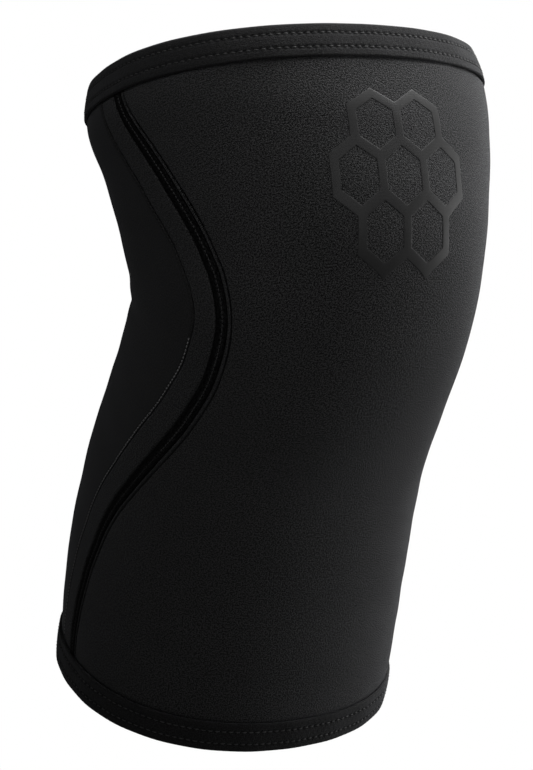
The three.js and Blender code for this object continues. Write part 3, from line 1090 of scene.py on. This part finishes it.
for side, sign in (("left", 1), ("right", -1)):
    tape_row = seam_row(TAPE_STITCHES, sign, TAPE_PITCH)
    rear_row = seam_row(STRIP_WIDTH + REAR_STITCHES, sign, REAR_PITCH)
    chain = two_tones("tape_stitches", side, tape_row, TAPE_CHANGE, painted_shade_thread, black_thread)
    rear = two_tones("rear_stitches", side, rear_row, REAR_CHANGE, painted_highlight_thread, painted_shade_thread)

# %% [markdown]
# The print is a honeycomb of seven cells. Every side of a cell is a band between two corners, half of
# it on each side of the line. At a corner the bands meet in points towards the cells' middles, so
# their ends fall together, and merging them makes one film with seven holes and rounded edges.

# %% Bands of the honeycomb
FILM_CELL = 9 * MM
FILM_STROKE = 3 * MM


def unit(turns):
    """Directions in the plane of the print."""
    return np.stack([np.cos(turns), np.sin(turns)], -1)


def film_bands():
    """Ends of all bands, and at each end the step to either edge. Towards a cell it is the direction
    of that cell's middle, and where there is no cell, it is opposite to the sum of the others."""
    sixths = np.arange(6) * np.pi / 3
    middles = np.concatenate([np.zeros((1, 2)), FILM_CELL * np.sqrt(3) * unit(sixths)])
    start = middles[:, None] + FILM_CELL * unit(sixths - np.pi / 6)
    stop = middles[:, None] + FILM_CELL * unit(sixths + np.pi / 6)
    beyond = middles[:, None] + FILM_CELL * np.sqrt(3) * unit(sixths)
    apart = np.linalg.norm(beyond[:, :, None] - middles, axis=-1)
    shared = apart.min(-1) < FILM_CELL / 2
    first = ~shared | (np.arange(7)[:, None] < apart.argmin(-1))
    ends = np.stack([start[first], stop[first]], 1)
    own = np.repeat(middles[:, None], 6, 1)[first][:, None] - ends
    steps = middles - ends[:, :, None]
    near = np.linalg.norm(steps, axis=-1, keepdims=True) < 1.5 * FILM_CELL
    away = np.where(shared[first][:, None, None], beyond[first][:, None] - ends, -(steps * near).sum(2))
    spread = FILM_STROKE / 2 / np.cos(np.pi / 6)
    away = away / np.linalg.norm(away, axis=-1, keepdims=True)
    return ends, own / FILM_CELL * spread, away * spread


ends, own, away = film_bands()
print("bands of the print:", len(ends))

# %% Print
FILM_RISE = 55 * MM
FILM_AT = (CALF_LENGTH + FILM_RISE) / AXIS_LENGTH
FILM_THICKNESS = 0.12 * MM
FILM_SINK = 0.1 * MM
BAND_STEPS = 8
MERGE = 0.001 * MM
BAND_SECTION = table("across height", (-1, 0), (-0.98, 0.5), (-0.9, 0.85), (-0.75, 1), (0, 1))


def band_section():
    """Across in half strokes and height in metres: over the top to the other edge, and back below."""
    half, level = BAND_SECTION["across"], BAND_SECTION["height"]
    across = np.concatenate([half, -half[-2::-1]])
    height = np.concatenate([level, level[-2::-1]]) * FILM_THICKNESS
    return np.concatenate([across, across[::-1]]), np.concatenate([height, 0 * height - FILM_SINK])


def flat_film():
    """Place and height of every point and the corners of every face. A band is the section at one
    end mixed evenly into the section at the other, and points that fall together become one."""
    across, height = band_section()
    end_rows = ends[:, :, None] + np.maximum(-across, 0)[:, None] * own[:, :, None]
    end_rows = end_rows + np.maximum(across, 0)[:, None] * away[:, :, None]
    t = np.linspace(0, 1, BAND_STEPS)[:, None, None]
    flat = end_rows[:, None, 0] * (1 - t) + end_rows[:, None, 1] * t
    level = np.broadcast_to(height, flat.shape[:-1])
    corners = grid_faces(BAND_STEPS, len(across), False)
    one = (corners[:, 0] * len(across) + corners[:, 1] % len(across)).T
    faces = one[None] + BAND_STEPS * len(across) * np.arange(len(ends))[:, None, None]
    places = np.concatenate([flat, level[..., None]], -1).reshape(-1, 3)
    rounded = np.round(places / MERGE).astype(np.int64)
    _, kept, merged = np.unique(rounded, axis=0, return_index=True, return_inverse=True)
    return places[kept], merged.reshape(-1)[faces.reshape(-1, 4)]


places, faces = flat_film()
x, y, lift = places.T
film_at = FILM_AT + y / AXIS_LENGTH
points = on_sleeve(film_at, x / radius_at(film_at, 0.0), -lift)
film_uv = np.stack([x, y], -1)[faces]
knee_print = add_piece("knee_print_film", points, faces, film_uv, film)
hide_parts("knee_print")

# %% [markdown]

# %% Cloths
print("cloths: front, back and hem jersey")

# %% [markdown]
# Black cloth on white needs light from one side. Three large soft lamps stand to the right and graze
# the sleeve, so its right edge glows and its left half sinks into shade. A weak one stands high on
# the left, and a small one in front has a narrower spread, to lift the knee a little out of the dark.

# %% Lamps
LAMPS = table(
    "azimuth elevation distance width height power spread",
    (-10, 20, 0.4, 0.2, 0.2, 0.075, 70),
    (75, 0, 0.9, 0.5, 0.6, 6, 180),
    (80, 60, 0.9, 0.5, 0.6, 13.0, 180),
    (-60, 60, 0.48, 0.3, 0.3, 0.55, 180),
    (125, 20, 0.9, 0.5, 0.6, 3.5, 180),
)
for number, row in enumerate(zip(*LAMPS.values())):
    azimuth, elevation, distance, width, height, power, spread = row
    data = bpy.data.lights.new(f"softbox_{number}", "AREA")
    data.shape = "RECTANGLE"
    data.size = width
    data.size_y = height
    data.energy = power
    data.spread = np.radians(spread)
    lamp = bpy.data.objects.new(data.name, data)
    bpy.context.scene.collection.objects.link(lamp)
    look(lamp, towards(azimuth, elevation), distance, Vector((0, 0, 0)))
print("lamps:", len(LAMPS["power"]))

# %% [markdown]
# The floor and the surroundings are white to the camera only. If they lit the cloth as well, they
# would wash it out. A mix by Light Path gives the camera one shader and all other rays another. The
# sleeve hangs as if worn, so the floor lies clear below it.

# %% Surroundings
AMBIENT = 0.024
WHITE = (1, 1, 1, 1)


def camera_white(graph, unseen, seen, output):
    """A white that only the camera sees, over the shader that the other rays meet."""
    mix = graph.node("ShaderNodeMixShader")
    graph.put(mix.inputs[0], graph.node("ShaderNodeLightPath").outputs["Is Camera Ray"])
    graph.put(mix.inputs[1], unseen)
    graph.put(mix.inputs[2], seen)
    graph.put(graph.node(output).inputs["Surface"], mix.outputs[0])


world = bpy.data.worlds.new("studio")
bpy.context.scene.world = world
world.use_nodes = True
world.node_tree.nodes.clear()
graph = Graph(world.node_tree)
ambient = graph.node("ShaderNodeBackground", {"Color": WHITE, "Strength": AMBIENT}).outputs[0]
backdrop = graph.node("ShaderNodeBackground", {"Color": WHITE, "Strength": 1.0}).outputs[0]
camera_white(graph, ambient, backdrop, "ShaderNodeOutputWorld")
bpy.context.scene.view_settings.view_transform = "Standard"
print("surroundings:", world.name)

# %% Floor
FLOOR_GREY = (0.2, 0.2, 0.2, 1)
FLOOR_BELOW = 60 * MM
FLOOR_HALF = 6.0

floor_material = bpy.data.materials.new("pale_floor")
floor_material.use_nodes = True
floor_material.node_tree.nodes.clear()
graph = Graph(floor_material.node_tree)
dull = graph.node("ShaderNodeBsdfDiffuse", {"Color": FLOOR_GREY}).outputs[0]
pale = graph.node("ShaderNodeEmission", {"Color": WHITE, "Strength": 1.0}).outputs[0]
camera_white(graph, dull, pale, "ShaderNodeOutputMaterial")

floor_z = cad_box[0][2] - FLOOR_BELOW
corners = np.array([(-1, -1, 0), (1, -1, 0), (1, 1, 0), (-1, 1, 0)]) * FLOOR_HALF
floor_mesh = bpy.data.meshes.new("floor")
floor_mesh.from_pydata(corners + (0, 0, floor_z), [], [(0, 1, 2, 3)])
floor_mesh.materials.append(floor_material)
floor = bpy.data.objects.new("floor", floor_mesh)
bpy.context.scene.collection.objects.link(floor)
print("floor at", round(floor_z, 3))

# %% [markdown]
